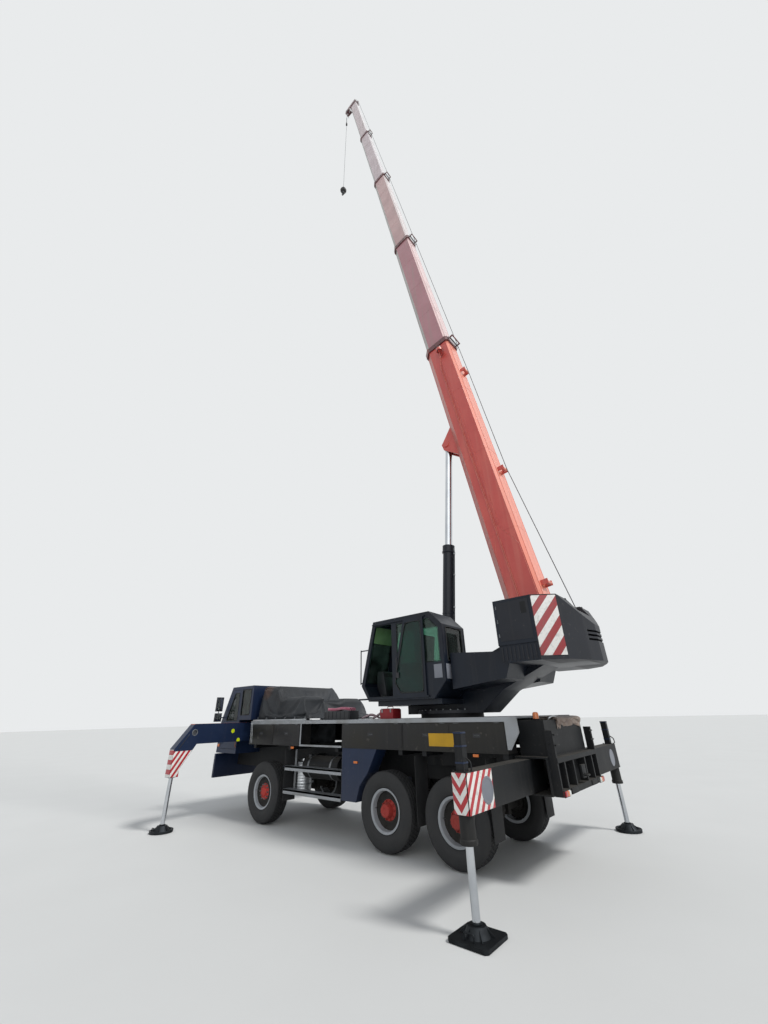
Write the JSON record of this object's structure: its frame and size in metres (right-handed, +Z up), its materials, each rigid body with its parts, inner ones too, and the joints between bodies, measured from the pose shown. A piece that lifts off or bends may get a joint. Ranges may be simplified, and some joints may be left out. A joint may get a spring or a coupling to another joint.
{
  "type": "mobile crane",
  "caption": "Mobile crane with a telescopic boom raised and drawn out, an operator's cab and counterweight on a slewing frame, and a carrier on wheels and lowered outriggers.",
  "frame": {"origin": "on the ground under the middle of the machine's bounding box", "axes": "+X to the driver's end, +Y to the machine's left, +Z up"},
  "size_m": [10.31, 6.27, 39.7405],
  "materials": {
    "paint_blue": "satin dark blue paint",
    "paint_dark": "satin black-blue paint",
    "paint_orange": "gloss orange-red paint",
    "paint_pale": "gloss pale paint",
    "paint_silver": "silver paint",
    "steel_dark": "black paint",
    "chrome": "hard chrome",
    "rope_steel": "galvanised wire rope",
    "checker": "bright checker plate",
    "tyre": "rubber",
    "glass": "tinted safety glass",
    "seat": "woven seat cloth",
    "cover": "black tarpaulin",
    "lens": "lamp lenses",
    "engine": "painted castings",
    "hook": "yellow paint"
  },
  "bodies": {
    "carrier": {"chassis_frame": "steel_dark", "axles": "steel_dark", "deck": "checker", "deck_edges": "checker", "side_lockers": "paint_blue", "fender_boxes": "paint_blue", "side_steps": "checker", "tanks": "steel_dark", "engine": "engine", "driver_cab": "paint_blue", "driver_cab_glass": "glass", "driver_seats_and_dash": "seat", "front_bumper": "paint_blue", "lamps": "lens", "soft_cover": "cover"},
    "superstructure": {"slewing_frame": "steel_dark", "counterweight": "paint_dark", "side_housings": "paint_dark", "winch": "steel_dark", "operator_cab": "paint_dark", "operator_cab_glass": "glass", "operator_seat_and_console": "seat"},
    "operator_sliding_door": {"operator_door": "paint_dark", "operator_door_glass": "glass"},
    "boom": {"boom_base": "paint_orange"},
    "cylinder_barrel": {"luff_cylinder_barrel": "steel_dark"},
    "cylinder_rod": {"luff_cylinder_rod": "chrome"},
    "hoist_line": {"hoist_rope": "rope_steel"},
    "hook": {"hook_block": "hook"},
    "driver_door_left": {"driver_door_left": "paint_blue", "driver_door_glass_left": "glass"},
    "knuckle_left": {"knuckle_left": "steel_dark"},
    "driver_door_right": {"driver_door_right": "paint_blue", "driver_door_glass_right": "glass"},
    "knuckle_right": {"knuckle_right": "steel_dark"},
    "wheel_front_left": {"rim_front_left": "paint_silver", "tyre_front_left": "tyre"},
    "wheel_front_right": {"rim_front_right": "paint_silver", "tyre_front_right": "tyre"},
    "wheel_middle_left": {"rim_middle_left": "paint_silver", "tyre_middle_left": "tyre"},
    "wheel_middle_right": {"rim_middle_right": "paint_silver", "tyre_middle_right": "tyre"},
    "wheel_rear_left": {"rim_rear_left": "paint_silver", "tyre_rear_left": "tyre"},
    "wheel_rear_right": {"rim_rear_right": "paint_silver", "tyre_rear_right": "tyre"},
    "beam_front_left": {"outrigger_beam_front_left": "paint_blue"},
    "jack_front_left": {"outrigger_jack_front_left": "steel_dark"},
    "beam_front_right": {"outrigger_beam_front_right": "paint_blue"},
    "jack_front_right": {"outrigger_jack_front_right": "steel_dark"},
    "beam_rear_left": {"outrigger_beam_rear_left": "paint_blue"},
    "jack_rear_left": {"outrigger_jack_rear_left": "steel_dark"},
    "beam_rear_right": {"outrigger_beam_rear_right": "paint_blue"},
    "jack_rear_right": {"outrigger_jack_rear_right": "steel_dark"},
    "section_2": {"boom_section_2": "paint_pale"},
    "section_3": {"boom_section_3": "paint_pale"},
    "section_4": {"boom_section_4": "paint_pale"},
    "section_5": {"boom_section_5": "paint_pale"}
  },
  "joints": [
    {"name": "slew", "type": "hinge", "parent": "carrier", "child": "superstructure", "pos_m": [-2.05, 0, 2.08], "axis": [0, 0, 1], "continuous": true},
    {"name": "luff", "type": "hinge", "parent": "superstructure", "child": "boom", "pos_m": [-3.85, 0, 3.05], "axis": [0, -1, 0], "range_deg": [-81, 1.5]},
    {"name": "telescope", "type": "slide", "parent": "boom", "child": "section_2", "axis": [0.1564, 0, 0.9877], "range_m": [-6.5, 0]},
    {"name": "telescope_3", "type": "slide", "parent": "section_2", "child": "section_3", "axis": [0.1564, 0, 0.9877], "range_m": [-6.5, 0]},
    {"name": "telescope_4", "type": "slide", "parent": "section_3", "child": "section_4", "axis": [0.1564, 0, 0.9877], "range_m": [-6.5, 0]},
    {"name": "telescope_5", "type": "slide", "parent": "section_4", "child": "section_5", "axis": [0.1564, 0, 0.9877], "range_m": [-6.5, 0]},
    {"name": "cylinder_foot", "type": "hinge", "parent": "superstructure", "child": "cylinder_barrel", "pos_m": [-2, 0, 2.6], "axis": [0, -1, 0], "range_deg": [-93.88, 1.75]},
    {"name": "cylinder_stroke", "type": "slide", "parent": "cylinder_barrel", "child": "cylinder_rod", "axis": [-0.1135, 0, 0.9935], "range_m": [-2.22253, 0.04126]},
    {"name": "line_upright", "type": "hinge", "parent": "section_5", "child": "hoist_line", "pos_m": [2.0789, 0, 39.46079], "axis": [0, -1, 0], "range_deg": [-1.51, 81.01]},
    {"name": "hoist", "type": "slide", "parent": "hoist_line", "child": "hook", "axis": [0, 0, -1], "range_m": [-8, 0], "deforming": ["hoist_rope"]},
    {"name": "steer_left", "type": "hinge", "parent": "carrier", "child": "knuckle_left", "pos_m": [2.65, 0.79, 0.617], "axis": [0, 0, 1], "range_deg": [-28, 28]},
    {"name": "steer_right", "type": "hinge", "parent": "carrier", "child": "knuckle_right", "pos_m": [2.65, -0.79, 0.617], "axis": [0, 0, 1], "range_deg": [-28, 28]},
    {"name": "roll_front_left", "type": "hinge", "parent": "knuckle_left", "child": "wheel_front_left", "pos_m": [2.65, 1.045, 0.617], "axis": [0, 1, 0], "continuous": true},
    {"name": "roll_front_right", "type": "hinge", "parent": "knuckle_right", "child": "wheel_front_right", "pos_m": [2.65, -1.045, 0.617], "axis": [0, 1, 0], "continuous": true},
    {"name": "roll_middle_left", "type": "hinge", "parent": "carrier", "child": "wheel_middle_left", "pos_m": [-1.2, 1.045, 0.617], "axis": [0, 1, 0], "continuous": true},
    {"name": "roll_middle_right", "type": "hinge", "parent": "carrier", "child": "wheel_middle_right", "pos_m": [-1.2, -1.045, 0.617], "axis": [0, 1, 0], "continuous": true},
    {"name": "roll_rear_left", "type": "hinge", "parent": "carrier", "child": "wheel_rear_left", "pos_m": [-2.7, 1.045, 0.617], "axis": [0, 1, 0], "continuous": true},
    {"name": "roll_rear_right", "type": "hinge", "parent": "carrier", "child": "wheel_rear_right", "pos_m": [-2.7, -1.045, 0.617], "axis": [0, 1, 0], "continuous": true},
    {"name": "extend_front_left", "type": "slide", "parent": "carrier", "child": "beam_front_left", "axis": [0, 1, 0], "range_m": [-1.6, 0]},
    {"name": "lower_front_left", "type": "slide", "parent": "beam_front_left", "child": "jack_front_left", "axis": [0, 0, -1], "range_m": [-0.5, 0]},
    {"name": "extend_front_right", "type": "slide", "parent": "carrier", "child": "beam_front_right", "axis": [0, -1, 0], "range_m": [-1.6, 0]},
    {"name": "lower_front_right", "type": "slide", "parent": "beam_front_right", "child": "jack_front_right", "axis": [0, 0, -1], "range_m": [-0.5, 0]},
    {"name": "extend_rear_left", "type": "slide", "parent": "carrier", "child": "beam_rear_left", "axis": [0, 1, 0], "range_m": [-1.55, 0]},
    {"name": "lower_rear_left", "type": "slide", "parent": "beam_rear_left", "child": "jack_rear_left", "axis": [0, 0, -1], "range_m": [-0.5, 0]},
    {"name": "extend_rear_right", "type": "slide", "parent": "carrier", "child": "beam_rear_right", "axis": [0, -1, 0], "range_m": [-1.55, 0]},
    {"name": "lower_rear_right", "type": "slide", "parent": "beam_rear_right", "child": "jack_rear_right", "axis": [0, 0, -1], "range_m": [-0.5, 0]},
    {"name": "door_left", "type": "hinge", "parent": "carrier", "child": "driver_door_left", "pos_m": [4.78, 1.244, 1.45], "axis": [0, 0, -1], "range_deg": [0, 60]},
    {"name": "door_right", "type": "hinge", "parent": "carrier", "child": "driver_door_right", "pos_m": [4.78, -1.244, 1.45], "axis": [0, 0, 1], "range_deg": [0, 60]},
    {"name": "cab_door", "type": "slide", "parent": "superstructure", "child": "operator_sliding_door", "axis": [1, 0, 0], "range_m": [0, 0.82]}
  ],
  "couplings": [
    {"joint": "telescope_3", "follows": "telescope", "ratio": 1},
    {"joint": "telescope_4", "follows": "telescope", "ratio": 1},
    {"joint": "telescope_5", "follows": "telescope", "ratio": 1},
    {"joint": "cylinder_foot", "follows": "luff", "ratio": 1.1589},
    {"joint": "cylinder_stroke", "follows": "luff", "m_per_rad": 1.572},
    {"joint": "line_upright", "follows": "luff", "ratio": -1},
    {"joint": "steer_right", "follows": "steer_left", "ratio": 1}
  ]
}
